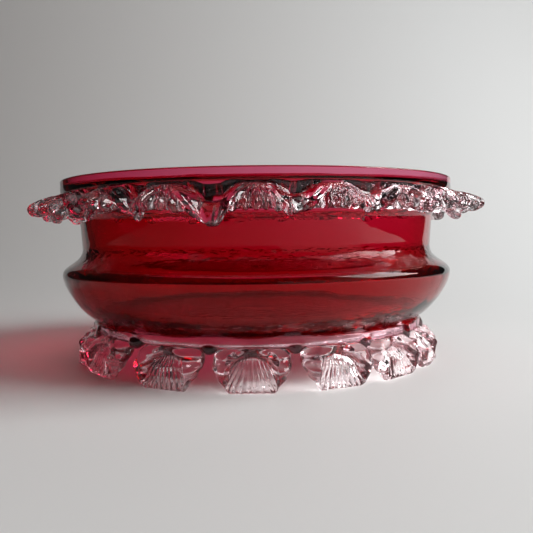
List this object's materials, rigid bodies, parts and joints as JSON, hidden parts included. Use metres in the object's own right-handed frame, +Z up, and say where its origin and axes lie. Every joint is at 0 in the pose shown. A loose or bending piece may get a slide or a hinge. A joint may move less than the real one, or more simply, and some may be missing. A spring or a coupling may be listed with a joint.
{
  "type": "glass bowl",
  "caption": "Round ruby glass bowl cased in clear glass, with a crimped clear frill under the lip and pinched shell feet.",
  "frame": {"origin": "centre of the circle that the feet stand on, at table height", "axes": "+Z up out of the bowl's mouth, -Y towards the first foot, +X to the right when seen from -Y"},
  "size_m": [0.22, 0.22, 0.085],
  "materials": {
    "ruby_glass": "gloss",
    "clear_glass": "gloss"
  },
  "bodies": {
    "root": {"bowl_ruby": "ruby_glass", "bowl_casing": "clear_glass", "frill": "clear_glass", "base_trail": "clear_glass", "foot_01": "clear_glass", "foot_02": "clear_glass", "foot_03": "clear_glass", "foot_04": "clear_glass", "foot_05": "clear_glass", "foot_06": "clear_glass", "foot_07": "clear_glass", "foot_08": "clear_glass", "foot_09": "clear_glass", "foot_10": "clear_glass", "foot_11": "clear_glass", "foot_12": "clear_glass", "foot_13": "clear_glass", "foot_14": "clear_glass", "foot_15": "clear_glass", "foot_16": "clear_glass"}
  },
  "joints": []
}
